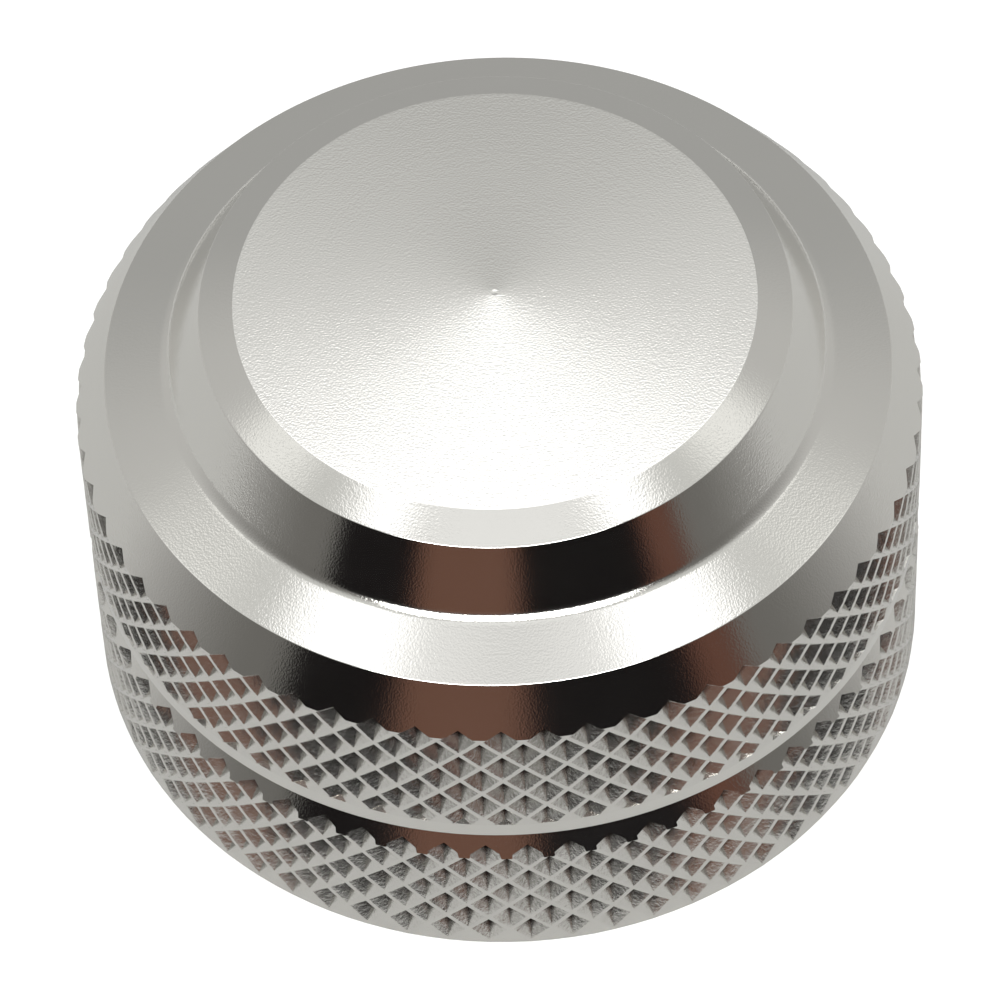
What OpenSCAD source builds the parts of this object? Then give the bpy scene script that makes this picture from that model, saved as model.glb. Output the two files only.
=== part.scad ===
// Turned aluminium brake knob of a fishing reel: a stepped, coned top over two bands of
// crossed diamond knurl, with a threaded bore open below, a rubber friction ring at the end
// of the thread and a bronze thrust pad at the blind end.
// Millimetres, +Z up, origin at the middle of the bottom rim.

/* [Outside] */
// Radius over the crests of the knurl
crest_r = 10; // [9.9:0.05:10.3]
// Height at the edge of the top face
knob_h = 12.35; // [12.3:0.05:12.8]
// Rise of the coned top face to its middle
crown_rise = 0.18; // [0.05:0.01:0.4]
// Radius of the top face
top_r = 6.11; // [5.8:0.01:6.5]
// Radius at the foot of the top chamfer
boss_top_r = 6.92; // [6.7:0.01:7.1]
// Height of the top chamfer
top_chamfer_h = 0.36; // [0.25:0.01:0.5]
// Radius at the foot of the boss
boss_foot_r = 7.76; // [7.5:0.01:7.95]
// Height of the foot of the boss
boss_foot_z = 10.46; // [10.3:0.01:10.7]
// Radius of the fillet at the foot of the boss
foot_fillet_r = 0.5; // [0.3:0.05:0.7]
// Radius at the outer edge of the sloping ring
ring_r = 9.255; // [9.1:0.005:9.4]
// Height of the outer edge of the sloping ring
ring_z = 9.88; // [9.75:0.01:9.95]
// Height at which the shoulder cone reaches the crests
shoulder_z = 8.73; // [8.6:0.01:8.8]
// Edge break round the bottom rim
rim_chamfer = 0.15; // [0.08:0.01:0.2]
// How far the plain strip at the bottom rim lies under the crests
rim_drop = 0.1; // [0.05:0.01:0.15]

/* [Groove] */
// Height of the upper wall of the groove
groove_top_z = 4.75; // [4.7:0.01:4.9]
// Height at which the lower flank of the groove reaches the crests
groove_foot_z = 3.81; // [3.75:0.01:3.9]
// Depth of the groove under the crests
groove_depth = 0.6; // [0.5:0.01:0.7]
// Height of the flat floor of the groove
groove_floor_h = 0.1; // [0.05:0.01:0.15]

/* [Knurl] */
// Diamonds in one row
knurl_count = 63; // [60:1:66]
// Height from one row of diamonds to the next
row_h = 0.525; // [0.52:0.001:0.53]
// Height of the middle of the lowest row
first_row_z = 0.745; // [0.73:0.005:0.76]
// Depth of a diamond
pit_depth = 0.37; // [0.3:0.01:0.4]
// Share of the pitch that is left flat on the ridges
flat_share = 0.12; // [0.1:0.01:0.2]
// Turn of the lowest row, degrees
knurl_turn = 2.5; // [0:0.1:5.7]
// Height at which the upper band stops above its plain land
knurl_end_z = 5.24; // [5.22:0.01:5.28]
// How far the plain land lies under the crests
land_drop = 0.04; // [0.03:0.01:0.08]

/* [Bore] */
// Radius of the threaded bore at the crests of its thread
bore_r = 6.46; // [6.3:0.01:6.6]
// Height of the end of the threaded bore
bore_end_z = 5.4; // [5:0.05:5.6]
// Lead-in chamfer at the mouth
mouth_chamfer = 0.6; // [0.4:0.05:0.8]
// Radius of the gland of the friction ring
gland_r = 7.05; // [7:0.01:7.3]
// Height of the gland
gland_h = 1.6; // [1.55:0.05:1.8]
// Radius of the clearance bore for the bearing nose
nose_r = 5.2; // [4.8:0.05:5.4]
// Height of the end of the clearance bore
nose_end_z = 8.4; // [8.2:0.05:8.6]

/* [Friction ring] */
// Radius of the ring's cord
cord_r = 0.75; // [0.6:0.01:0.75]
// How far the cord is pressed flat against the gland
cord_press = 0.08; // [0.04:0.01:0.12]

/* [Thrust pad] */
// Radius of the pad
pad_r = 3; // [2.5:0.05:3.2]
// Thickness of the pad
pad_h = 0.8; // [0.5:0.05:0.9]
// Depth of the pad's recess
pad_recess_h = 1; // [0.95:0.05:1.2]
// Clearance round the pad
pad_clear = 0.1; // [0.05:0.01:0.15]

/* [Hidden] */
// Rows in each band, and rows of the same lattice that the groove and its land take
lower_rows = 7;
upper_rows = 7;
groove_rows = 2;
// How far a cut runs past the material
overrun = 0.3;
// Plain strip past the last corners of a band
end_strip = 0.075;
// Metal between the deepest point of a diamond and the plain core
core_cover = 0.1;
// How far a knurled band laps over the core
band_lap = 0.3;
$fn = 180;

core_r = crest_r - pit_depth - core_cover;
band_r = core_r - band_lap;
land_r = crest_r - land_drop;
rim_r = crest_r - rim_drop;
groove_r = crest_r - groove_depth;
groove_floor_z = groove_top_z - groove_floor_h;
collar_r = crest_r - pit_depth / 3;

upper_first = lower_rows + groove_rows;
pitch_a = 360 / knurl_count;
half_a = pitch_a / 2 * (1 - flat_share);
half_z = row_h * (1 - flat_share);
lower_bottom_z = row_z(0) - half_z - end_strip;
lower_top_z = row_z(lower_rows - 1) + half_z + end_strip;
upper_bottom_z = knurl_end_z - end_strip / 2;
upper_top_z = row_z(upper_first + upper_rows - 1) + half_z + end_strip;

shoulder_slope = (shoulder_z - ring_z) / (crest_r - ring_r);
flank_slope = (groove_foot_z - groove_floor_z) / (crest_r - groove_r);

gland_mid_z = bore_end_z + gland_h / 2;
cord_mid_r = gland_r - cord_r + cord_press;
pad_end_z = nose_end_z + pad_recess_h;

boss_top = [boss_top_r, knob_h - top_chamfer_h];
boss_foot = [boss_foot_r, boss_foot_z];
ring_edge = [ring_r, ring_z];
flank_dir = (boss_top - boss_foot) / norm(boss_top - boss_foot);
ring_dir = (ring_edge - boss_foot) / norm(ring_edge - boss_foot);
bisector = (flank_dir + ring_dir) / norm(flank_dir + ring_dir);
half_angle = acos(flank_dir * bisector);
fillet_mid = boss_foot + bisector * foot_fillet_r / sin(half_angle);
fillet_run = foot_fillet_r / tan(half_angle);

function row_z(k) = first_row_z + k * row_h;
function cell_a(i, k) = knurl_turn + (i + (k % 2) / 2) * pitch_a;
function at(r, a, z) = [r * cos(a), r * sin(a), z];
// Column of the neighbour half a pitch to the right, or to the left, in the next row
function right_of(i, k) = i + k % 2;
function left_of(i, k) = i + k % 2 - 1;

// Ring of crossed ridges with sunken diamonds between them, from low_z to high_z.
// Each diamond has a left, right, top and bottom corner on the crests and one deepest point.
// With open_end set, the plane low_z cuts through the lowest row of diamonds.
module knurl_band(first, rows, low_z, high_z, open_end) {
  n = knurl_count;
  last = first + rows - 1;
  corner_count = 5;
  cut = open_end ? (row_z(first) - low_z) / half_z : 1;
  cells = [
    for (k = [first : last])
      for (i = [0 : n - 1])
        let (
          a = cell_a(i, k),
          z = row_z(k),
          opened = open_end && k == first,
          foot_z = opened ? low_z : z - half_z,
          foot_r = opened ? crest_r - pit_depth * (1 - cut) : crest_r
        )
          each [
            at(crest_r, a - half_a, z),
            at(crest_r, a + half_a, z),
            at(crest_r, a, z + half_z),
            at(foot_r, a, foot_z),
            at(crest_r - pit_depth, a, z)
          ]
  ];
  high_mid = [for (i = [0 : n - 1]) at(crest_r, cell_a(i, last), high_z)];
  high_gap = [for (i = [0 : n - 1]) at(crest_r, cell_a(i, last) + pitch_a / 2, high_z)];
  high_in = [for (i = [0 : n - 1]) at(band_r, cell_a(i, last), high_z)];
  low_gap = [for (i = [0 : n - 1]) at(crest_r, cell_a(i, first) + pitch_a / 2, low_z)];
  low_in = [for (i = [0 : n - 1]) at(band_r, cell_a(i, first), low_z)];
  // Points on the low plane: the two cut edges of each diamond, or the plain edge under it
  low_left = [for (i = [0 : n - 1]) at(crest_r, cell_a(i, first) - half_a * (1 - cut), low_z)];
  low_right = [for (i = [0 : n - 1]) at(crest_r, cell_a(i, first) + half_a * (1 - cut), low_z)];
  points = concat(cells, high_mid, high_gap, high_in, low_gap, low_in, low_left, low_right);

  cell_end = corner_count * n * rows;
  function col(i) = (i + n) % n;
  function corner(i, k, c) = corner_count * ((k - first) * n + col(i)) + c;
  function left(i, k) = corner(i, k, 0);
  function right(i, k) = corner(i, k, 1);
  function top(i, k) = corner(i, k, 2);
  function foot(i, k) = corner(i, k, 3);
  function deep(i, k) = corner(i, k, 4);
  function edge(group, i) = cell_end + group * n + col(i);
  function hm(i) = edge(0, i);
  function hg(i) = edge(1, i);
  function hi(i) = edge(2, i);
  function lg(i) = edge(3, i);
  function li(i) = edge(4, i);
  function ll(i) = edge(5, i);
  function lr(i) = edge(6, i);

  columns = [0 : n - 1];
  // Walls of the diamonds
  walls = [
    for (k = [first : last])
      for (i = columns)
        each [
          [left(i, k), deep(i, k), foot(i, k)],
          [foot(i, k), deep(i, k), right(i, k)],
          [right(i, k), deep(i, k), top(i, k)],
          [top(i, k), deep(i, k), left(i, k)]
        ]
  ];
  // Flat tops of the ridges between a row and the next one up
  ridges = [
    for (k = [first : 1 : last - 1])
      for (i = columns)
        let (u = right_of(i, k), v = left_of(i, k))
          each [
            [top(i, k), left(u, k + 1), foot(u, k + 1)],
            [top(i, k), foot(u, k + 1), right(i, k)],
            [left(i, k), foot(v, k + 1), right(v, k + 1)],
            [left(i, k), right(v, k + 1), top(i, k)]
          ]
  ];
  // Flat tops of the crossings, upper and lower half
  crossings_up = [
    for (k = [first : 1 : last - 1])
      for (i = columns)
        [right(i, k), foot(right_of(i, k), k + 1), left(i + 1, k)]
  ];
  crossings_down = [
    for (k = [first + 1 : last])
      for (i = columns)
        [right(i, k), left(i + 1, k), top(right_of(i, k), k - 1)]
  ];
  high_strip = [
    for (i = columns)
      each [
        [top(i, last), hm(i), right(i, last)],
        [right(i, last), hm(i), hg(i)],
        [right(i, last), hg(i), left(i + 1, last)],
        [left(i + 1, last), hg(i), hm(i + 1)],
        [left(i + 1, last), hm(i + 1), top(i + 1, last)]
      ]
  ];
  high_face = [
    for (i = columns)
      each [
        [hi(i), hg(i), hm(i)],
        [hi(i), hm(i + 1), hg(i)],
        [hi(i), hi(i + 1), hm(i + 1)]
      ]
  ];
  inside = [
    for (i = columns)
      each [
        [hi(i), li(i), li(i + 1)],
        [hi(i), li(i + 1), hi(i + 1)]
      ]
  ];
  low_open = [
    for (i = columns)
      each [
        [left(i, first), foot(i, first), ll(i)],
        [lr(i), foot(i, first), right(i, first)],
        [right(i, first), lg(i), lr(i)],
        [right(i, first), left(i + 1, first), lg(i)],
        [left(i + 1, first), ll(i + 1), lg(i)],
        [li(i), ll(i), foot(i, first)],
        [li(i), foot(i, first), lr(i)],
        [li(i), lr(i), lg(i)],
        [li(i), lg(i), ll(i + 1)],
        [li(i), ll(i + 1), li(i + 1)]
      ]
  ];
  low_plain = [
    for (i = columns)
      each [
        [right(i, first), ll(i), foot(i, first)],
        [right(i, first), lg(i), ll(i)],
        [right(i, first), left(i + 1, first), lg(i)],
        [left(i + 1, first), ll(i + 1), lg(i)],
        [left(i + 1, first), foot(i + 1, first), ll(i + 1)],
        [li(i), ll(i), lg(i)],
        [li(i), lg(i), ll(i + 1)],
        [li(i), ll(i + 1), li(i + 1)]
      ]
  ];
  polyhedron(
    points = points,
    faces = concat(walls, ridges, crossings_up, crossings_down, high_strip, high_face, inside,
                   open_end ? low_open : low_plain),
    convexity = 10
  );
}

// Plain turned core that the knurled bands stand on
module core() {
  rotate_extrude()
    polygon([
      [0, 0],
      [rim_r - rim_chamfer, 0],
      [rim_r, rim_chamfer],
      [rim_r, lower_bottom_z + end_strip / 2],
      [core_r, lower_bottom_z + end_strip / 2],
      [core_r, lower_top_z - end_strip * 2],
      [land_r, lower_top_z - end_strip * 2],
      [land_r, knurl_end_z],
      [core_r, knurl_end_z],
      [core_r, upper_top_z - end_strip * 2],
      [collar_r, upper_top_z - end_strip * 2],
      [collar_r, knob_h + crown_rise + overrun],
      [0, knob_h + crown_rise + overrun]
    ]);
}

// Turned outline: everything outside it is cut away
module turned_outline() {
  rotate_extrude()
    difference() {
      polygon([
        [0, -overrun],
        [crest_r + overrun, -overrun],
        [crest_r + overrun, groove_foot_z + overrun * flank_slope],
        [groove_r, groove_floor_z],
        [groove_r, groove_top_z],
        [crest_r + overrun, groove_top_z],
        [crest_r + overrun, shoulder_z + overrun * shoulder_slope],
        ring_edge,
        boss_foot + ring_dir * fillet_run,
        fillet_mid,
        boss_foot + flank_dir * fillet_run,
        boss_top,
        [top_r, knob_h],
        [0, knob_h + crown_rise]
      ]);
      translate(fillet_mid)
        circle(foot_fillet_r);
    }
}

// Space inside, open below: threaded bore, ring gland, clearance bore and pad recess
module cavity() {
  rotate_extrude()
    polygon([
      [0, -overrun],
      [bore_r + mouth_chamfer + overrun, -overrun],
      [bore_r, mouth_chamfer],
      [bore_r, bore_end_z],
      [gland_r, bore_end_z],
      [gland_r, bore_end_z + gland_h],
      [nose_r, bore_end_z + gland_h],
      [nose_r, nose_end_z],
      [pad_r + pad_clear, nose_end_z],
      [pad_r + pad_clear, pad_end_z],
      [0, pad_end_z]
    ]);
}

// The turned and knurled knob, one piece
module knob_body() {
  color([0.75, 0.74, 0.72])
    difference() {
      intersection() {
        union() {
          core();
          knurl_band(0, lower_rows, lower_bottom_z, lower_top_z, false);
          knurl_band(upper_first, upper_rows, upper_bottom_z, upper_top_z, true);
        }
        turned_outline();
      }
      cavity();
    }
}

// Rubber ring, pressed flat where it bears on its gland
module friction_ring() {
  color([0.06, 0.06, 0.06])
    rotate_extrude()
      intersection() {
        translate([cord_mid_r, gland_mid_z])
          circle(cord_r);
        translate([0, bore_end_z])
          square([gland_r, gland_h]);
      }
}

// Bronze disc that the end of the spool shaft runs against
module thrust_pad() {
  color([0.72, 0.5, 0.25])
    translate([0, 0, pad_end_z - pad_h])
      cylinder(r = pad_r, h = pad_h);
}

knob_body();
friction_ring();
thrust_pad();
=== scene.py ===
import math

import bpy
from bpy.props import FloatProperty, FloatVectorProperty, IntProperty, PointerProperty
from mathutils import Matrix, Vector


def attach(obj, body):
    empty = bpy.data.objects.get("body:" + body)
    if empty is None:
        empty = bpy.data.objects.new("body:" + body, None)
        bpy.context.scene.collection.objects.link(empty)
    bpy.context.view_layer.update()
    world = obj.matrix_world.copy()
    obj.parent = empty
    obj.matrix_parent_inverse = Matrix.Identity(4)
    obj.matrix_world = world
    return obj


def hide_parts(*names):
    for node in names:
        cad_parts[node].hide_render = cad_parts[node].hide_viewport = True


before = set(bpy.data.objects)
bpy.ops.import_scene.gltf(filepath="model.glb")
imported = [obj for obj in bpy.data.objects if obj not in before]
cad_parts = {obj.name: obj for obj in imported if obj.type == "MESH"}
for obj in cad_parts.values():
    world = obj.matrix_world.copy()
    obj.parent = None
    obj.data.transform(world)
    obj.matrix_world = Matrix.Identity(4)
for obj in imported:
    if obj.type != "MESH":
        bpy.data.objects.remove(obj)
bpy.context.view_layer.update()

bl_info = {
    "name": "Reel Brake Knob",
    "version": (1, 0, 0),
    "blender": (4, 5, 0),
    "location": "View3D > Sidebar > Brake Knob",
    "description": "Dresses the turned and knurled brake knob of a fishing reel",
    "category": "Object",
}

MM = 0.001
BODY = "root"
# Longest straight piece kept beside a broken edge
SUPPORT = 0.06 * MM
# Radius from which a round gets the finer of the two counts of steps
LARGE_ROUND = 0.2 * MM
EDGE_STEPS, ROUND_STEPS = 4, 10
# How near a point lies to a cut, to count as on it
ON_CUT = 1e-9
# How near two points of neighbouring rows are in turn, to count as one above the other
SAME_TURN = 1e-7
# Distance over which the slices and the thread are joined
WELD = 2e-7
# Angles from which an edge is shaded sharp, on the knob and on its fittings
KNOB_SHARP, FITTING_SHARP = math.radians(27), math.radians(30)


def length(name, description, default):
    return FloatProperty(name=name, description=description, default=default * MM, unit="LENGTH", precision=6)


def tint(name, description, default):
    return FloatVectorProperty(name=name, description=description, default=default, subtype="COLOR", size=3,
                               min=0.0, max=1.0)


class KnobOutline(bpy.types.PropertyGroup):
    """Turned outline of the knob, in the frame of the CAD part"""

    crest_r: length("Crest radius", "Radius over the crests of the knurl", 10.0)
    knob_h: length("Height", "Height at the edge of the top face", 12.35)
    crown_rise: length("Crown rise", "Rise of the coned top face to its middle", 0.18)
    top_r: length("Top radius", "Radius of the top face", 6.11)
    boss_top_r: length("Boss top radius", "Radius at the foot of the top chamfer", 6.92)
    top_chamfer_h: length("Top chamfer height", "Height of the top chamfer", 0.36)
    boss_foot_r: length("Boss foot radius", "Radius at the foot of the boss", 7.76)
    boss_foot_z: length("Boss foot height", "Height of the foot of the boss", 10.46)
    foot_fillet_r: length("Foot fillet", "Radius of the fillet at the foot of the boss", 0.5)
    ring_r: length("Ring radius", "Radius at the outer edge of the sloping ring", 9.255)
    ring_z: length("Ring height", "Height of the outer edge of the sloping ring", 9.88)
    shoulder_z: length("Shoulder height", "Height at which the shoulder cone reaches the crests", 8.73)
    groove_top_z: length("Groove top", "Height of the upper wall of the groove", 4.75)
    groove_foot_z: length("Groove foot", "Height at which the groove's flank reaches the crests", 3.81)
    groove_depth: length("Groove depth", "Depth of the groove under the crests", 0.6)
    groove_floor_h: length("Groove floor", "Height of the flat floor of the groove", 0.1)
    rim_chamfer: length("Rim chamfer", "Edge break round the bottom rim", 0.15)
    rim_drop: length("Rim drop", "How far the strip at the bottom rim lies under the crests", 0.1)
    edge_r: length("Edge radius", "Radius to which the turned edges are broken", 0.035)


class KnobKnurl(bpy.types.PropertyGroup):
    """Crossed diamond knurl"""

    count: IntProperty(name="Diamonds", description="Diamonds in one row", default=63, min=12)
    row_h: length("Row height", "Height from one row of diamonds to the next", 0.525)
    first_row_z: length("First row", "Height of the middle of the lowest row", 0.745)
    pit_depth: length("Depth", "Depth of a diamond", 0.37)
    flat_share: FloatProperty(name="Ridge share", description="Share of the pitch left flat on the ridges",
                              default=0.12, subtype="FACTOR", min=0.02, max=0.5)
    turn: FloatProperty(name="Turn", description="Turn of the lowest row", default=math.radians(2.5),
                        unit="ROTATION")
    lower_rows: IntProperty(name="Lower rows", description="Rows of the lower band", default=7)
    groove_rows: IntProperty(name="Groove rows", description="Rows that the groove and its land take",
                             default=2)
    upper_rows: IntProperty(name="Upper rows", description="Rows of the upper band", default=7)
    end_z: length("Band end", "Height at which the upper band stops above its land", 5.24)
    land_drop: length("Land drop", "How far the plain land lies under the crests", 0.04)
    foot_z: length("Band foot", "Height of the foot of the lower band", 0.208)
    depth_spread: FloatProperty(name="Depth spread", description="How much the diamonds differ in depth",
                                default=0.16, subtype="FACTOR", min=0.0, max=0.5)
    roughness: length("Rolled roughness", "How far the rolled metal is uneven", 0.012)


class KnobBore(bpy.types.PropertyGroup):
    """Space inside the knob"""

    bore_r: length("Bore radius", "Radius at the crests of the thread", 6.46)
    bore_end_z: length("Bore end", "Height of the end of the thread", 5.4)
    mouth_chamfer: length("Mouth chamfer", "Lead-in chamfer at the mouth", 0.6)
    thread_pitch: length("Thread pitch", "Pitch of the right-hand thread", 1.0)
    thread_depth: length("Thread depth", "Depth of the thread", 0.54)
    gland_r: length("Gland radius", "Radius of the gland of the friction ring", 7.05)
    gland_h: length("Gland height", "Height of the gland", 1.6)
    nose_r: length("Nose bore radius", "Radius of the clearance bore for the bearing nose", 5.2)
    nose_end_z: length("Nose bore end", "Height of the end of the clearance bore", 8.4)
    cord_r: length("Cord radius", "Radius of the friction ring's cord", 0.75)
    cord_press: length("Cord press", "How far the cord is pressed flat against the gland", 0.08)
    pad_r: length("Pad radius", "Radius of the thrust pad", 3.0)
    pad_h: length("Pad thickness", "Thickness of the thrust pad", 0.8)
    pad_recess_h: length("Pad recess", "Depth of the pad's recess", 1.0)
    pad_clear: length("Pad clearance", "Clearance round the pad", 0.1)


class KnobFinish(bpy.types.PropertyGroup):
    """Colours of the finishes"""

    aluminium: tint("Aluminium", "Clear anodised aluminium", (0.83, 0.82, 0.79))
    rubber: tint("Rubber", "Black rubber of the friction ring", (0.018, 0.018, 0.019))
    bronze: tint("Bronze", "Bronze of the thrust pad", (0.62, 0.40, 0.19))


class KnobStage(bpy.types.PropertyGroup):
    """Camera, floor and light"""

    lens: FloatProperty(name="Lens", description="Focal length on a 36 mm sensor", default=257.43)
    rise: FloatProperty(name="Rise", description="How far the camera looks down", default=0.9115844725879129,
                        unit="ROTATION")
    reach: length("Reach", "From the middle of the top edge to the camera", 166.27083)
    roll: FloatProperty(name="Roll", description="Roll of the camera", default=-0.045886, unit="ROTATION")
    aim_x: length("Aim across", "Sideways place of the point looked at", -0.0825)
    aim_z: length("Aim height", "Height of the point looked at", 4.3347)
    floor_r: length("Floor radius", "Radius of the floor", 70.0)


# Outline of the turned metal


def between(a, b, share):
    return (a[0] + (b[0] - a[0]) * share, a[1] + (b[1] - a[1]) * share)


def towards(a, b, distance):
    return between(a, b, distance / math.dist(a, b))


def edge_broken(before, corner, after, radius, steps):
    """Points of a corner rounded to a radius, with a supporting point on either side."""
    to_before = Vector(towards((0, 0), (before[0] - corner[0], before[1] - corner[1]), 1.0))
    to_after = Vector(towards((0, 0), (after[0] - corner[0], after[1] - corner[1]), 1.0))
    half = to_before.angle(to_after) / 2
    run = radius / math.tan(half)
    middle = Vector(corner) + (to_before + to_after).normalized() * (radius / math.sin(half))
    start = Vector(corner) + to_before * run - middle
    end = Vector(corner) + to_after * run - middle
    sweep = start.angle_signed(end)
    arc = [middle + Matrix.Rotation(-sweep * i / steps, 2) @ start for i in range(steps + 1)]
    support = min(SUPPORT, run * 2)
    first = Vector(corner) + to_before * (run + support)
    last = Vector(corner) + to_after * (run + support)
    return [tuple(p) for p in (first, *arc, last)]


def outline_chain(points, radii):
    """A chain of straight runs, with each inner corner broken to its radius."""
    chain = [points[0]]
    for i in range(1, len(points) - 1):
        if radii[i]:
            steps = ROUND_STEPS if radii[i] > LARGE_ROUND else EDGE_STEPS
            chain += edge_broken(points[i - 1], points[i], points[i + 1], radii[i], steps)
        else:
            chain.append(points[i])
    chain.append(points[-1])
    return chain


# One pitch of the knob, laid out as turn, height and radius


class Slice:
    """Mesh of one pitch of the knob. Points are (turn from the middle, height, radius)."""

    def __init__(self, half_turn, turn):
        self.half_turn, self.turn = half_turn, turn
        self.points, self.index, self.faces, self.finish = [], {}, [], []

    def point(self, p):
        key = (round(p[0], 7), round(p[1] / MM, 5), round(p[2] / MM, 5))
        if key[2] <= 0:
            key = (0.0, key[1], 0.0)
        if key not in self.index:
            self.index[key] = len(self.points)
            a = p[0] + self.turn
            self.points.append((p[2] * math.cos(a), p[2] * math.sin(a), p[1]))
        return self.index[key]

    def face(self, corners, finish):
        ids = []
        for p in corners:
            i = self.point(p)
            if i not in ids:
                ids.append(i)
        if len(ids) > 2:
            self.faces.append(ids)
            self.finish.append(finish)

    def circle(self, r, z, steps):
        """Points of a turned circle across the slice."""
        return [(self.half_turn * (2 * i / steps - 1), z, r) for i in range(steps + 1)]

    def bridge(self, upper, lower, finish):
        """Faces between two rows that both run across the slice."""
        i = j = 0
        if len(upper) == len(lower) and all(
                abs(a[0] - b[0]) < SAME_TURN for a, b in zip(upper, lower)):
            for i in range(len(upper) - 1):
                self.face((upper[i], lower[i], lower[i + 1], upper[i + 1]), finish)
            return
        while i < len(upper) - 1 or j < len(lower) - 1:
            if j == len(lower) - 1 or (i < len(upper) - 1 and upper[i + 1][0] <= lower[j + 1][0]):
                self.face((upper[i], lower[j], upper[i + 1]), finish)
                i += 1
            else:
                self.face((upper[i], lower[j], lower[j + 1]), finish)
                j += 1

    def turned(self, chain, steps, finish):
        """Turned surface along a chain of (radius, height)."""
        rows = [self.circle(r, z, steps) for r, z in chain]
        for upper, lower in zip(rows, rows[1:]):
            self.bridge(upper, lower, finish)
        return rows


def diamond_faces(mid_turn, mid_z, half_turn, row_h, levels, sides, segments=2):
    """Faces of one diamond of the lattice. levels are (share of the way to the ridge, radius)."""
    corners = ((1, 0), (0, 1), (-1, 0), (0, -1))
    faces = []

    def at(share, radius, side, step):
        a, b = corners[side], corners[(side + 1) % 4]
        t = step / segments
        u, v = a[0] + (b[0] - a[0]) * t, a[1] + (b[1] - a[1]) * t
        return (mid_turn + share * u * half_turn, mid_z + share * v * row_h, radius)

    for (inner, inner_r), (outer, outer_r) in zip(levels, levels[1:]):
        for side in sides:
            for step in range(segments):
                a, b = at(outer, outer_r, side, step), at(outer, outer_r, side, step + 1)
                if inner == 0:
                    faces.append([(mid_turn, mid_z, inner_r), a, b])
                else:
                    faces.append([at(inner, inner_r, side, step), a, b, at(inner, inner_r, side, step + 1)])
    return faces


def clipped(faces, outside):
    """The faces with everything cut away where outside(point) is above zero."""
    kept = []
    for face in faces:
        loop = []
        for p, q in zip(face, face[1:] + face[:1]):
            a, b = outside(p), outside(q)
            if a <= 0:
                loop.append(p)
            if (a < 0 < b) or (b < 0 < a):
                t = a / (a - b)
                loop.append(tuple(x + (y - x) * t for x, y in zip(p, q)))
        if len(loop) > 2:
            kept.append(loop)
    return kept


def cut_row(faces, outside):
    """The points along a cut, followed from the left side of the slice to the right."""
    links = {}
    for face in faces:
        for p, q in zip(face, face[1:] + face[:1]):
            a, b = (tuple(round(x, 9) for x in corner) for corner in (p, q))
            if a != b and abs(outside(p)) < ON_CUT and abs(outside(q)) < ON_CUT:
                links.setdefault(a, set()).add(b)
                links.setdefault(b, set()).add(a)
    row = [min(links)]
    while True:
        ahead = links[row[-1]] - set(row[-2:])
        if not ahead:
            return row
        row.append(max(ahead))


def knurl_levels(o, k):
    """Radius over a diamond, from its deepest point to the middle of the ridge."""
    wall = 1 - k.flat_share
    # Shares of the way at which the wall has a loop of its own, and over which the ridge is rounded
    mid, soft = 0.42, 0.06
    fall = k.pit_depth / wall
    return (
        (0.0, o.crest_r - k.pit_depth),
        (mid, o.crest_r - fall * (wall - mid)),
        (wall - soft, o.crest_r - fall * soft),
        (wall, o.crest_r - fall * soft / 4),
        (wall + soft, o.crest_r),
        (1.0, o.crest_r),
    )


def band_faces(o, k, first, rows):
    """Lattice of one band across the slice, with two plain rows above and below it."""
    half_turn = math.pi / k.count
    plain = ((0.0, o.crest_r), (1.0, o.crest_r))
    levels = knurl_levels(o, k)
    faces = []
    for row in range(first - 2, first + rows + 2):
        z = k.first_row_z + row * k.row_h
        shape = levels if first <= row < first + rows else plain
        if row % 2 == 0:
            faces += diamond_faces(0.0, z, half_turn, k.row_h, shape, (0, 1, 2, 3))
        else:
            faces += diamond_faces(-half_turn, z, half_turn, k.row_h, shape, (0, 3))
            faces += diamond_faces(half_turn, z, half_turn, k.row_h, shape, (1, 2))
    return faces


TURNED, KNURLED, INSIDE = 0, 1, 2


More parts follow.
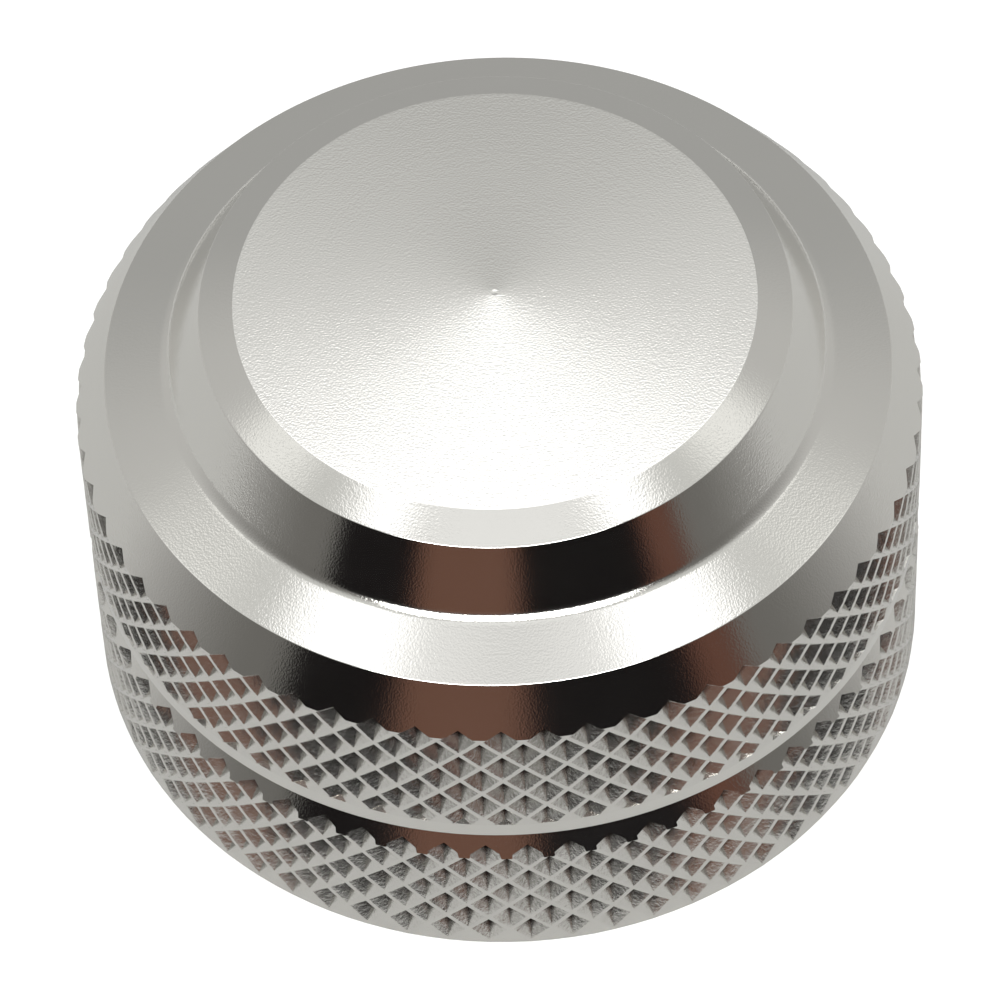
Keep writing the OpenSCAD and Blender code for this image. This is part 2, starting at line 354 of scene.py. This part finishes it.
def build_slice(o, k, b):
    """One pitch of the knob, without its thread."""
    s = Slice(math.pi / k.count, k.turn)
    steps, inner_steps = 4, 2
    e = o.edge_r
    # Strip left between a cut and the turned surface, and the edge breaks that are smaller than the rest
    strip, fine_e, floor_e = 0.03 * MM, 0.02 * MM, 0.03 * MM

    def shoulder(p):
        return p[2] - (o.ring_r + (o.ring_z - p[1]) * (o.crest_r - o.ring_r) / (o.ring_z - o.shoulder_z))

    groove_r = o.crest_r - o.groove_depth
    floor_z = o.groove_top_z - o.groove_floor_h

    def flank(p):
        return p[2] - (groove_r + (floor_z - p[1]) * o.groove_depth / (floor_z - o.groove_foot_z))

    def cone_r(outside, z):
        return -outside((0, z, 0.0))

    # Upper band, cut by the shoulder cone above and ended above its land
    upper = band_faces(o, k, k.lower_rows + k.groove_rows, k.upper_rows)
    upper = clipped(clipped(upper, shoulder), lambda p: k.end_z - p[1])
    for face in upper:
        s.face(face, KNURLED)
    upper_top = cut_row(upper, shoulder)
    upper_foot = cut_row(upper, lambda p: k.end_z - p[1])

    # Lower band, cut by the flank of the groove
    lower = band_faces(o, k, 0, k.lower_rows)
    lower = clipped(clipped(lower, flank), lambda p: k.foot_z - p[1])
    for face in lower:
        s.face(face, KNURLED)
    lower_top = cut_row(lower, flank)
    lower_foot = cut_row(lower, lambda p: k.foot_z - p[1])

    # Top face, chamfer, boss, ring and shoulder
    join_z = max(p[1] for p in upper_top) + strip
    chain = outline_chain(
        [(0.0, o.knob_h + o.crown_rise), (o.top_r, o.knob_h), (o.boss_top_r, o.knob_h - o.top_chamfer_h),
         (o.boss_foot_r, o.boss_foot_z), (o.ring_r, o.ring_z), (cone_r(shoulder, join_z), join_z)],
        [0, e, e, o.foot_fillet_r, e, 0])
    # The pip that the tool leaves in the middle, and two more rings for the cone
    pip_drop, ring_radii = 0.012 * MM, (0.07, 0.11, 0.16, 2.0, 4.0)
    pip = [(0.0, o.knob_h + o.crown_rise - pip_drop)]
    pip += [between(chain[0], chain[1], r * MM / chain[1][0]) for r in ring_radii]
    rows = s.turned(pip + chain[1:], steps, TURNED)
    s.bridge(rows[-1], upper_top, TURNED)

    # Land and groove
    join_z = max(p[1] for p in lower_top) + strip
    land_r = o.crest_r - k.land_drop
    chain = outline_chain(
        [(land_r, k.end_z - strip), (land_r, o.groove_top_z), (groove_r, o.groove_top_z),
         (groove_r, floor_z), (cone_r(flank, join_z), join_z)],
        [0, e, fine_e, floor_e, 0])
    rows = s.turned(chain, steps, TURNED)
    s.bridge(upper_foot, rows[0], KNURLED)
    s.bridge(rows[-1], lower_top, TURNED)

    # Bottom rim and underside
    rim_r = o.crest_r - o.rim_drop
    mouth_r = b.bore_r + b.mouth_chamfer
    mouth_strip = 0.1 * MM
    chain = outline_chain(
        [(rim_r, k.foot_z), (rim_r, o.rim_chamfer), (rim_r - o.rim_chamfer, 0.0),
         (mouth_r + mouth_strip, 0.0)],
        [0, fine_e, fine_e, 0])
    rows = s.turned(chain, steps, TURNED)
    s.bridge(lower_foot, rows[0], KNURLED)
    s.bridge(rows[-1], s.circle(mouth_r, 0.0, inner_steps), TURNED)

    # Gland, nose bore and pad recess
    gland_top = b.bore_end_z + b.gland_h
    recess_r, recess_z = b.pad_r + b.pad_clear, b.nose_end_z + b.pad_recess_h
    chain = outline_chain(
        [(b.gland_r, b.bore_end_z), (b.gland_r, gland_top), (b.nose_r, gland_top), (b.nose_r, b.nose_end_z),
         (recess_r, b.nose_end_z), (recess_r, recess_z), (0.0, recess_z)],
        [r * MM for r in (0, 0.1, 0.08, 0.15, 0.05, 0.05, 0)])
    s.turned(chain, inner_steps, INSIDE)

    mesh = bpy.data.meshes.new("knob_slice")
    mesh.from_pydata(s.points, [], s.faces)
    mesh.attributes.new("finish", "INT", "FACE").data.foreach_set("value", s.finish)
    return mesh, inner_steps * k.count


# Geometry node tree that repeats the slice and cuts the thread


class Tree:
    """Small helper that adds nodes to a tree and joins them."""

    def __init__(self, tree):
        self.tree = tree
        self.count = 0

    def add(self, kind, inputs=None, **settings):
        node = self.tree.nodes.new(kind)
        node.location = (self.count % 12 * 190, -(self.count // 12) * 260)
        self.count += 1
        for name, value in settings.items():
            setattr(node, name, value)
        for key, value in (inputs or {}).items():
            self.put(node.inputs[key], value)
        return node

    def put(self, socket, value):
        if isinstance(value, bpy.types.NodeSocket):
            self.tree.links.new(value, socket)
        else:
            socket.default_value = value

    def math(self, operation, *values):
        return self.add("ShaderNodeMath", dict(enumerate(values)), operation=operation).outputs[0]

    def smooth(self, value, low, high, to_low=0.0, to_high=1.0):
        node = self.add("ShaderNodeMapRange", {0: value, 1: low, 2: high, 3: to_low, 4: to_high},
                        interpolation_type="SMOOTHSTEP")
        return node.outputs[0]

    def spread(self, noise, low, high):
        """A noise stretched over a range of values."""
        return self.add("ShaderNodeMapRange", {0: noise, 1: 0.3, 2: 0.7, 3: low, 4: high}).outputs[0]

    def mix(self, share, below, above):
        """A colour, or the colour of a socket, changed into another by a share."""
        ends = [c if isinstance(c, bpy.types.NodeSocket) else (*c, 1) for c in (below, above)]
        return self.add("ShaderNodeMix", {0: share, 6: ends[0], 7: ends[1]}, data_type="RGBA").outputs[2]


def named_inputs(tree, sockets):
    """Adds named inputs to a geometry tree and returns their identifiers."""
    made = {}
    tree.interface.new_socket("Geometry", in_out="INPUT", socket_type="NodeSocketGeometry")
    for name, kind in sockets:
        made[name] = tree.interface.new_socket(name, in_out="INPUT", socket_type=kind).identifier
    tree.interface.new_socket("Geometry", in_out="OUTPUT", socket_type="NodeSocketGeometry")
    return made


def knob_tree():
    """Repeats the slice round the axis, cuts the thread, and makes the rolled metal uneven."""
    tree = bpy.data.node_groups.new("knurled_knob", "GeometryNodeTree")
    number, whole, stuff = "NodeSocketFloat", "NodeSocketInt", "NodeSocketMaterial"
    ids = named_inputs(tree, [
        ("Diamonds", whole), ("Crest Radius", number), ("Depth Spread", number), ("Roughness", number),
        ("Start Turn", number), ("Bore Radius", number), ("Bore End", number), ("Mouth Radius", number),
        ("Gland Radius", number), ("Thread Pitch", number), ("Thread Depth", number),
        ("Thread Columns", whole),
        ("Rows Per Turn", whole), ("Thread Rows", whole), ("Seed", number),
        ("Turned Metal", stuff), ("Knurled Metal", stuff), ("Bored Metal", stuff)])
    t = Tree(tree)
    given = t.add("NodeGroupInput").outputs
    m = t.math

    # The slice, repeated
    places = t.add("GeometryNodeMeshLine", {"Count": given["Diamonds"], "Offset": (0, 0, 0)})
    pitch = m("DIVIDE", math.tau, given["Diamonds"])
    angle = m("MULTIPLY", t.add("GeometryNodeInputIndex").outputs[0], pitch)
    turned = t.add("FunctionNodeAxisAngleToRotation", {"Axis": (0, 0, 1), "Angle": angle})
    copies = t.add("GeometryNodeInstanceOnPoints", {
        "Points": places.outputs[0], "Instance": given["Geometry"], "Rotation": turned.outputs[0]})
    round_knob = t.add("GeometryNodeRealizeInstances", {"Geometry": copies.outputs[0]})

    # The thread, a sheet wound on the bore
    columns = m("ADD", given["Thread Columns"], 1)
    rows = m("ADD", given["Thread Rows"], 1)
    sheet = t.add("GeometryNodeMeshGrid", {
        "Size X": 1.0, "Size Y": 1.0, "Vertices X": columns, "Vertices Y": rows})
    at = t.add("ShaderNodeSeparateXYZ", {0: t.add("GeometryNodeInputPosition").outputs[0]}).outputs
    u, v = m("ADD", at[0], 0.5), m("ADD", at[1], 0.5)
    row = m("ROUND", m("MULTIPLY", v, given["Thread Rows"]))
    last = m("GREATER_THAN", row, m("SUBTRACT", given["Thread Rows"], 0.5))
    turns = m("SUBTRACT", m("ADD", m("DIVIDE", row, given["Rows Per Turn"]), u), 1.0)
    climb = m("MULTIPLY", turns, given["Thread Pitch"])
    height = m("MAXIMUM", 0.0, m("MINIMUM", climb, given["Bore End"]))
    phase = m("FRACT", m("SUBTRACT", m("DIVIDE", height, given["Thread Pitch"]), m("SUBTRACT", u, 4.0)))
    # Shares of the pitch that the flat crest and each flank take
    crest, slope = 0.25, 0.3125
    flank = m("MINIMUM", m("DIVIDE", m("SUBTRACT", phase, crest), slope),
              m("DIVIDE", m("SUBTRACT", 1.0, phase), slope))
    cut = m("MINIMUM", 1.0, m("MAXIMUM", 0.0, flank))
    wound = m("MULTIPLY_ADD", cut, given["Thread Depth"], given["Bore Radius"])
    wound = m("MAXIMUM", wound, m("SUBTRACT", given["Mouth Radius"], height))
    before = m("SUBTRACT", 1.0, last)
    radius = m("ADD", m("MULTIPLY", wound, before), m("MULTIPLY", given["Gland Radius"], last))
    height = m("ADD", m("MULTIPLY", height, before), m("MULTIPLY", given["Bore End"], last))
    angle = m("MULTIPLY_ADD", u, math.tau, given["Start Turn"])
    place = t.add("ShaderNodeCombineXYZ", {
        0: m("MULTIPLY", radius, m("COSINE", angle)), 1: m("MULTIPLY", radius, m("SINE", angle)), 2: height})
    thread = t.add("GeometryNodeSetPosition", {"Geometry": sheet.outputs[0], "Position": place.outputs[0]})
    thread = t.add("GeometryNodeFlipFaces", {"Mesh": thread.outputs[0]})
    thread = t.add("GeometryNodeStoreNamedAttribute", {"Geometry": thread.outputs[0], "Name": "finish",
                                                       "Value": INSIDE}, data_type="INT", domain="FACE")
    whole_knob = t.add("GeometryNodeJoinGeometry")
    tree.links.new(thread.outputs[0], whole_knob.inputs[0])
    tree.links.new(round_knob.outputs[0], whole_knob.inputs[0])
    welded = t.add("GeometryNodeMergeByDistance", {"Geometry": whole_knob.outputs[0], "Distance": WELD})

    # Rolled metal: diamonds of unequal depth, and a little unevenness that grows towards the rim
    here = t.add("GeometryNodeInputPosition").outputs[0]
    at = t.add("ShaderNodeSeparateXYZ", {0: here}).outputs
    flat = t.add("ShaderNodeCombineXYZ", {0: at[0], 1: at[1], 2: 0.0})
    radius = t.add("ShaderNodeVectorMath", {0: flat.outputs[0]}, operation="LENGTH").outputs["Value"]
    coarse = t.add("ShaderNodeTexNoise", {"Vector": here, "W": given["Seed"], "Scale": 1100.0, "Detail": 0.0},
                   noise_dimensions="4D").outputs[0]
    fine = t.add("ShaderNodeTexNoise", {"Vector": here, "W": given["Seed"], "Scale": 5200.0, "Detail": 1.0},
                 noise_dimensions="4D").outputs[0]
    spread = m("MULTIPLY", m("MULTIPLY_ADD", coarse, 2.0, -1.0), given["Depth Spread"])
    sunk = m("MULTIPLY", m("SUBTRACT", given["Crest Radius"], radius), m("ADD", spread, 1.0))
    rim_reach, rim_wear = 3.2 * MM, 2.2
    low = t.smooth(at[2], 0.0, rim_reach, rim_wear, 1.0)
    worn = m("MULTIPLY", m("MULTIPLY", fine, given["Roughness"]), low)
    new_radius = m("SUBTRACT", m("SUBTRACT", given["Crest Radius"], sunk), worn)
    scale = m("DIVIDE", new_radius, m("MAXIMUM", radius, 1e-6))
    moved = t.add("ShaderNodeCombineXYZ", {
        0: m("MULTIPLY", at[0], scale), 1: m("MULTIPLY", at[1], scale), 2: at[2]})
    finish = t.add("GeometryNodeInputNamedAttribute", {"Name": "finish"}, data_type="INT").outputs[0]
    knurled, bored = (
        t.add("FunctionNodeCompare", {2: finish, 3: kind}, data_type="INT", operation="EQUAL").outputs[0]
        for kind in (KNURLED, INSIDE))
    # A point that a turned face shares stays where the cut has put it
    wholly = 0.99
    share = t.add("GeometryNodeFieldOnDomain", {0: knurled}, data_type="FLOAT", domain="FACE").outputs[0]
    chosen = m("GREATER_THAN", share, wholly)
    rolled = t.add("GeometryNodeSetPosition", {
        "Geometry": welded.outputs[0], "Selection": chosen, "Position": moved.outputs[0]})

    # Shading: smooth surfaces, with the corners kept sharp
    smooth = t.add("GeometryNodeSetShadeSmooth", {"Geometry": rolled.outputs[0]}, domain="FACE")
    corner = t.add("GeometryNodeInputMeshEdgeAngle").outputs[0]
    sharp = t.add("FunctionNodeCompare", {0: corner, 1: KNOB_SHARP}, data_type="FLOAT",
                  operation="GREATER_THAN").outputs[0]
    creased = t.add("GeometryNodeSetShadeSmooth", {
        "Geometry": smooth.outputs[0], "Selection": sharp, "Shade Smooth": False}, domain="EDGE")
    real = t.add("GeometryNodeRealizeInstances", {"Geometry": creased.outputs[0]})
    dressed = t.add("GeometryNodeSetMaterial", {
        "Geometry": real.outputs[0], "Material": given["Turned Metal"]})
    dressed = t.add("GeometryNodeSetMaterial", {
        "Geometry": dressed.outputs[0], "Selection": knurled, "Material": given["Knurled Metal"]})
    dressed = t.add("GeometryNodeSetMaterial", {
        "Geometry": dressed.outputs[0], "Selection": bored, "Material": given["Bored Metal"]})
    t.add("NodeGroupOutput", {0: dressed.outputs[0]})
    return tree, ids


def made_plain(piece, tree, ids, values):
    """Runs a geometry tree on a piece and keeps the result as the piece's own mesh."""
    grown = piece.modifiers.new("grown", "NODES")
    grown.node_group = tree
    for name, value in values.items():
        grown[ids[name]] = value
    bpy.context.view_layer.update()
    seen = piece.evaluated_get(bpy.context.evaluated_depsgraph_get())
    mesh = bpy.data.meshes.new_from_object(seen, preserve_all_data_layers=True,
                                           depsgraph=bpy.context.evaluated_depsgraph_get())
    piece.modifiers.remove(grown)
    old = piece.data
    piece.data = mesh
    bpy.data.meshes.remove(old)
    mesh.name = piece.name
    return piece


# Finishes

SATIN = {"rough": 0.115, "grain": 1.3, "lines": 0.3}
BORED = {"rough": 0.3, "grain": 0.8, "lines": 3.0}


def new_material(name):
    material = bpy.data.materials.new(name)
    material.use_nodes = True
    material.node_tree.nodes.clear()
    t = Tree(material.node_tree)
    out = t.add("ShaderNodeOutputMaterial")
    shader = t.add("ShaderNodeBsdfPrincipled")
    t.put(out.inputs["Surface"], shader.outputs[0])
    where = t.add("ShaderNodeTexCoord").outputs["Object"]
    return material, t, shader, where


def turned_metal(name, colour, rough, grain, lines):
    """Satin anodised metal as it comes off the lathe, with fine grain and faint rings."""
    material, t, shader, where = new_material(name)
    m = t.math
    at = t.add("ShaderNodeSeparateXYZ", {0: where}).outputs
    r = m("SQRT", m("ADD", m("MULTIPLY", at[0], at[0]), m("MULTIPLY", at[1], at[1])))
    along = t.add("ShaderNodeCombineXYZ", {0: r, 1: at[2], 2: 0.0}).outputs[0]
    ring = t.add("ShaderNodeTexNoise", {"Vector": along, "Scale": 14000.0, "Detail": 2.0}).outputs[0]
    speck = t.add("ShaderNodeTexNoise", {"Vector": where, "Scale": 21000.0, "Detail": 1.0}).outputs[0]
    cloud = t.add("ShaderNodeTexNoise", {"Vector": where, "Scale": 420.0, "Detail": 2.0}).outputs[0]
    height = m("ADD", m("MULTIPLY", ring, lines), m("MULTIPLY", speck, grain))
    bump = t.add("ShaderNodeBump", {"Strength": 1.0, "Distance": 1.6e-6, "Height": height})
    mottle = m("ADD", m("MULTIPLY", cloud, 0.6), m("MULTIPLY", speck, 0.4))
    roughness = t.spread(mottle, rough * 0.88, rough * 1.12)
    tone = t.mix(cloud, [c * 0.97 for c in colour], colour)
    shader.inputs["Metallic"].default_value = 1.0
    t.put(shader.inputs["Base Color"], tone)
    t.put(shader.inputs["Roughness"], roughness)
    t.put(shader.inputs["Normal"], bump.outputs[0])
    return material


def rolled_metal(name, colour, rough, crest_r, pit_depth):
    """The knurl: rolled, torn and anodised, rougher than the turned faces, with painted shade that darkens
    the deep part of each diamond.
    """
    material, t, shader, where = new_material(name)
    m = t.math
    grit = t.add("ShaderNodeTexNoise", {"Vector": where, "Scale": 13000.0, "Detail": 3.0,
                                        "Roughness": 0.6}).outputs[0]
    smear = t.add("ShaderNodeTexNoise", {"Vector": where, "Scale": 2600.0, "Detail": 2.0}).outputs[0]
    bump = t.add("ShaderNodeBump", {"Strength": 1.0, "Distance": 6e-6,
                                    "Height": m("ADD", grit, m("MULTIPLY", smear, 1.5))})
    at = t.add("ShaderNodeSeparateXYZ", {0: where}).outputs
    r = m("SQRT", m("ADD", m("MULTIPLY", at[0], at[0]), m("MULTIPLY", at[1], at[1])))
    depth = m("DIVIDE", m("SUBTRACT", crest_r, r), pit_depth)
    # Painted shade: the colour turns dark brown towards the bottom of each diamond, where the pit lies in
    # shade.
    painted_pit_shade_mask = t.smooth(m("ADD", depth, m("MULTIPLY_ADD", smear, 0.3, -0.15)), 0.5, 0.95)
    roughness = t.spread(grit, rough * 0.85, rough * 1.15)
    painted_pit_shade_colour = (0.08, 0.064, 0.055)
    tone = t.mix(painted_pit_shade_mask, t.mix(smear, [c * 0.9 for c in colour], colour), painted_pit_shade_colour)
    shader.inputs["Metallic"].default_value = 1.0
    t.put(shader.inputs["Base Color"], tone)
    t.put(shader.inputs["Roughness"], roughness)
    t.put(shader.inputs["Normal"], bump.outputs[0])
    return material


def ring_rubber(name, colour):
    """Moulded black rubber with a dusty bloom."""
    material, t, shader, where = new_material(name)
    m = t.math
    grain = t.add("ShaderNodeTexNoise", {"Vector": where, "Scale": 7000.0, "Detail": 3.0}).outputs[0]
    bloom = t.add("ShaderNodeTexNoise", {"Vector": where, "Scale": 600.0, "Detail": 2.0}).outputs[0]
    bump = t.add("ShaderNodeBump", {"Strength": 1.0, "Distance": 5e-6, "Height": grain})
    tone = t.mix(m("MULTIPLY", bloom, 0.6), colour, [c * 3.2 for c in colour])
    roughness = t.spread(bloom, 0.48, 0.66)
    t.put(shader.inputs["Base Color"], tone)
    t.put(shader.inputs["Roughness"], roughness)
    t.put(shader.inputs["Normal"], bump.outputs[0])
    return material


# Turned fittings inside the knob


def turned_piece(name, chain, columns, closed):
    """A turned piece: a chain of (radius, height) carried once round the axis."""
    points, faces, rows = [], [], []
    for r, z in chain:
        if r <= 0:
            rows.append([len(points)] * columns)
            points.append((0.0, 0.0, z))
        else:
            rows.append(list(range(len(points), len(points) + columns)))
            points += [(r * math.cos(math.tau * i / columns), r * math.sin(math.tau * i / columns), z)
                       for i in range(columns)]
    pairs = list(zip(rows, rows[1:])) + ([(rows[-1], rows[0])] if closed else [])
    for upper, lower in pairs:
        for i in range(columns):
            j = (i + 1) % columns
            loop = [upper[i], lower[i], lower[j], upper[j]]
            faces.append([v for n, v in enumerate(loop) if v not in loop[:n]])
    mesh = bpy.data.meshes.new(name)
    mesh.from_pydata(points, [], faces)
    mesh.shade_smooth()
    mesh.set_sharp_from_angle(angle=FITTING_SHARP)
    piece = bpy.data.objects.new(name, mesh)
    bpy.context.scene.collection.objects.link(piece)
    return piece


def settle(piece, node):
    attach(piece, BODY)
    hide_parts(node)


# Operators


class BRAKEKNOB_OT_turn_body(bpy.types.Operator):
    """Turns, knurls and threads the knob"""

    bl_idname = "brakeknob.turn_body"
    bl_label = "Turn the knob"

    def execute(self, context):
        scene = context.scene
        o, k, b, f = scene.knob_outline, scene.knob_knurl, scene.knob_bore, scene.knob_finish
        mesh, columns = build_slice(o, k, b)
        knob = bpy.data.objects.new("turned_knob", mesh)
        scene.collection.objects.link(knob)
        tree, ids = knob_tree()
        rows_per_turn = 16
        made_plain(knob, tree, ids, {
            "Diamonds": k.count, "Crest Radius": o.crest_r, "Depth Spread": k.depth_spread,
            "Roughness": k.roughness, "Start Turn": k.turn - math.pi / k.count, "Bore Radius": b.bore_r,
            "Bore End": b.bore_end_z, "Mouth Radius": b.bore_r + b.mouth_chamfer, "Gland Radius": b.gland_r,
            "Thread Pitch": b.thread_pitch, "Thread Depth": b.thread_depth, "Thread Columns": columns,
            "Rows Per Turn": rows_per_turn,
            "Thread Rows": math.ceil((b.bore_end_z / b.thread_pitch + 1) * rows_per_turn) + 1, "Seed": 4.0,
            "Turned Metal": turned_metal("satin_turned_aluminium", f.aluminium, **SATIN),
            "Knurled Metal": rolled_metal("knurled_aluminium", f.aluminium, 0.2, o.crest_r, k.pit_depth),
            "Bored Metal": turned_metal("bored_aluminium", f.aluminium, **BORED)})
        knob.data.attributes.remove(knob.data.attributes["finish"])
        settle(knob, "knob_body")
        return {"FINISHED"}


class BRAKEKNOB_OT_fit_friction_ring(bpy.types.Operator):
    """Fits the rubber friction ring in its gland"""

    bl_idname = "brakeknob.fit_friction_ring"
    bl_label = "Fit the friction ring"

    def execute(self, context):
        b, f = context.scene.knob_bore, context.scene.knob_finish
        middle_r = b.gland_r - b.cord_r + b.cord_press
        middle_z = b.bore_end_z + b.gland_h / 2
        bite = math.acos((b.gland_r - middle_r) / b.cord_r)
        steps = 30
        angles = [bite + (math.tau - 2 * bite) * i / steps for i in range(steps + 1)]
        chain = [(middle_r + b.cord_r * math.cos(a), middle_z + b.cord_r * math.sin(a)) for a in angles]
        ring = turned_piece("rubber_friction_ring", chain, 144, True)
        ring.data.materials.append(ring_rubber("black_ring_rubber", f.rubber))
        settle(ring, "friction_ring")
        return {"FINISHED"}


class BRAKEKNOB_OT_fit_thrust_pad(bpy.types.Operator):
    """Fits the bronze thrust pad in its recess"""

    bl_idname = "brakeknob.fit_thrust_pad"
    bl_label = "Fit the thrust pad"

    def execute(self, context):
        b, f = context.scene.knob_bore, context.scene.knob_finish
        top = b.nose_end_z + b.pad_recess_h
        foot = top - b.pad_h
        edge = 0.08 * MM
        chain = outline_chain([(0.0, top), (b.pad_r, top), (b.pad_r, foot), (0.0, foot)], [0, edge, edge, 0])
        pad = turned_piece("bronze_thrust_pad", chain, 96, False)
        pad.data.materials.append(turned_metal("bronze_pad_metal", f.bronze, **BORED))
        settle(pad, "thrust_pad")
        return {"FINISHED"}


class BRAKEKNOB_OT_set_stage(bpy.types.Operator):
    """Sets the floor, the light and the camera"""

    bl_idname = "brakeknob.set_stage"
    bl_label = "Set the stage"

    def execute(self, context):
        scene = context.scene
        s, o = scene.knob_stage, scene.knob_outline
        self.floor(scene, s)
        self.light(scene)
        self.camera(scene, s, o)
        scene.view_settings.view_transform = "Standard"
        return {"FINISHED"}

    def floor(self, scene, s):
        columns, grey, camera_glow = 96, (0.37, 0.37, 0.366, 1), 0.7
        turns = [math.tau * i / columns for i in range(columns)]
        points = [(s.floor_r * math.cos(a), s.floor_r * math.sin(a), 0.0) for a in turns]
        mesh = bpy.data.meshes.new("white_floor")
        mesh.from_pydata(points, [], [list(range(columns))])
        floor = bpy.data.objects.new("white_floor", mesh)
        scene.collection.objects.link(floor)
        material = bpy.data.materials.new("white_floor_board")
        material.use_nodes = True
        material.node_tree.nodes.clear()
        t = Tree(material.node_tree)
        path = t.add("ShaderNodeLightPath").outputs
        board = t.add("ShaderNodeBsdfDiffuse", {"Color": grey})
        strength = t.math("MULTIPLY", path["Is Camera Ray"], camera_glow)
        glow = t.add("ShaderNodeEmission", {"Color": (1, 1, 1, 1), "Strength": strength})
        both = t.add("ShaderNodeAddShader", {0: board.outputs[0], 1: glow.outputs[0]})
        t.add("ShaderNodeOutputMaterial", {"Surface": both.outputs[0]})
        mesh.materials.append(material)

    def light(self, scene):
        world = bpy.data.worlds.new("light_tent")
        scene.world = world
        world.use_nodes = True
        world.node_tree.nodes.clear()
        t = Tree(world.node_tree)
        m = t.math
        at = t.add("ShaderNodeSeparateXYZ", {0: t.add("ShaderNodeTexCoord").outputs["Generated"]}).outputs
        deg = 180 / math.pi
        rise = m("MULTIPLY", m("ARCSINE", at[2]), deg)
        side = m("MULTIPLY", m("ARCTAN2", at[0], m("MULTIPLY", at[1], -1.0)), deg)
        away = m("ABSOLUTE", side)

        def patch(turn, turn_low, turn_high, low, high, soft=3.0, rise_soft=3.0):
            """Mask of a lamp or an opening between two turns and two rises, in degrees."""
            a = m("MULTIPLY", t.smooth(turn, turn_low - soft, turn_low + soft),
                  t.smooth(turn, turn_high - soft, turn_high + soft, 1.0, 0.0))
            b = m("MULTIPLY", t.smooth(rise, low - rise_soft, low + rise_soft),
                  t.smooth(rise, high - rise_soft, high + rise_soft, 1.0, 0.0))
            return m("MULTIPLY", a, b)

        # Cloth of the tent: dim towards the front opening, brighter at the sides, mid grey behind
        light = t.mix(t.smooth(away, 60, 108), (0.16, 0.155, 0.145), (0.55, 0.545, 0.53))
        light = t.mix(t.smooth(away, 125, 150), light, (0.41, 0.41, 0.40))
        # Roof, its lamps in front and at the sides, the lamp behind, and the slanting lamp on either side
        light = t.mix(t.smooth(rise, 40, 58), light, (0.62, 0.62, 0.60))
        light = t.mix(t.smooth(rise, 76, 83), light, (0.72, 0.72, 0.71))
        light = t.mix(patch(away, -10, 62, 72, 82, 6.0, 2.0), light, (0.93, 0.93, 0.92))
        light = t.mix(patch(away, 60, 110, 65.5, 78, 4.0, 1.5), light, (1.5, 1.5, 1.5))
        light = t.mix(patch(away, 140, 190, 50, 77, 6.0, 5.0), light, (0.78, 0.78, 0.77))
        light = t.mix(patch(away, 140, 190, 55.6, 77, 6.0, 0.8), light, (1.7, 1.7, 1.7))
        lean = m("ADD", away, m("MULTIPLY_ADD", rise, 1.2, -63.6))
        light = t.mix(patch(lean, 100, 111, 47, 58.5), light, (1.05, 1.05, 1.02))
        # Front opening, with what stands in it
        light = t.mix(patch(away, -10, 52, -12, 34, 3.0, 6.0), light, (0.008, 0.007, 0.007))
        light = t.mix(patch(side, -26, 3, -12, 30, 4.0, 6.0), light, (0.15, 0.075, 0.052))
        light = t.mix(patch(side, 42, 53, -12, 30, 4.0, 6.0), light, (0.13, 0.06, 0.042))
        # Lamp over the opening
        light = t.mix(patch(away, -10, 38, 38, 62, 3.0, 2.0), light, (12.0, 12.0, 11.8))
        path = t.add("ShaderNodeLightPath").outputs
        shown = t.mix(path["Is Camera Ray"], light, (1, 1, 1))
        back = t.add("ShaderNodeBackground", {"Color": shown, "Strength": 1.0})
        t.add("ShaderNodeOutputWorld", {"Surface": back.outputs[0]})

    def camera(self, scene, s, o):
        place = Vector((0, -math.cos(s.rise) * s.reach, math.sin(s.rise) * s.reach + o.knob_h))
        ahead = (Vector((s.aim_x, 0, s.aim_z)) - place).normalized()
        right = ahead.cross(Vector((0, 0, 1))).normalized()
        up = right.cross(ahead)
        x = right * math.cos(s.roll) + up * math.sin(s.roll)
        y = up * math.cos(s.roll) - right * math.sin(s.roll)
        lens = bpy.data.cameras.new("photo_camera")
        lens.lens, lens.sensor_width = s.lens, 36.0
        lens.clip_start, lens.clip_end = 0.005, 5.0
        camera = bpy.data.objects.new("photo_camera", lens)
        camera.matrix_world = Matrix.Translation(place) @ Matrix((x, y, -ahead)).transposed().to_4x4()
        scene.collection.objects.link(camera)
        scene.camera = camera


class BRAKEKNOB_PT_panel(bpy.types.Panel):
    """Lists the steps that dress the knob"""

    bl_idname = "BRAKEKNOB_PT_panel"
    bl_label = "Brake Knob"
    bl_space_type = "VIEW_3D"
    bl_region_type = "UI"
    bl_category = "Brake Knob"

    def draw(self, context):
        for step in STEPS:
            self.layout.operator(step.bl_idname)
        for name in SETTINGS:
            box = self.layout.box()
            group = getattr(context.scene, name)
            for key in group.__annotations__:
                box.prop(group, key)


STEPS = (BRAKEKNOB_OT_turn_body, BRAKEKNOB_OT_fit_friction_ring, BRAKEKNOB_OT_fit_thrust_pad,
         BRAKEKNOB_OT_set_stage)
SETTINGS = {"knob_outline": KnobOutline, "knob_knurl": KnobKnurl, "knob_bore": KnobBore,
            "knob_finish": KnobFinish, "knob_stage": KnobStage}


def register():
    for name, group in SETTINGS.items():
        bpy.utils.register_class(group)
        setattr(bpy.types.Scene, name, PointerProperty(type=group))
    for step in (*STEPS, BRAKEKNOB_PT_panel):
        bpy.utils.register_class(step)


def unregister():
    for step in (BRAKEKNOB_PT_panel, *reversed(STEPS)):
        bpy.utils.unregister_class(step)
    for name, group in reversed(list(SETTINGS.items())):
        delattr(bpy.types.Scene, name)
        bpy.utils.unregister_class(group)


def main():
    register()
    bpy.ops.brakeknob.set_stage()
    bpy.ops.brakeknob.turn_body()
    bpy.ops.brakeknob.fit_friction_ring()
    bpy.ops.brakeknob.fit_thrust_pad()


if __name__ == "__main__":
    main()
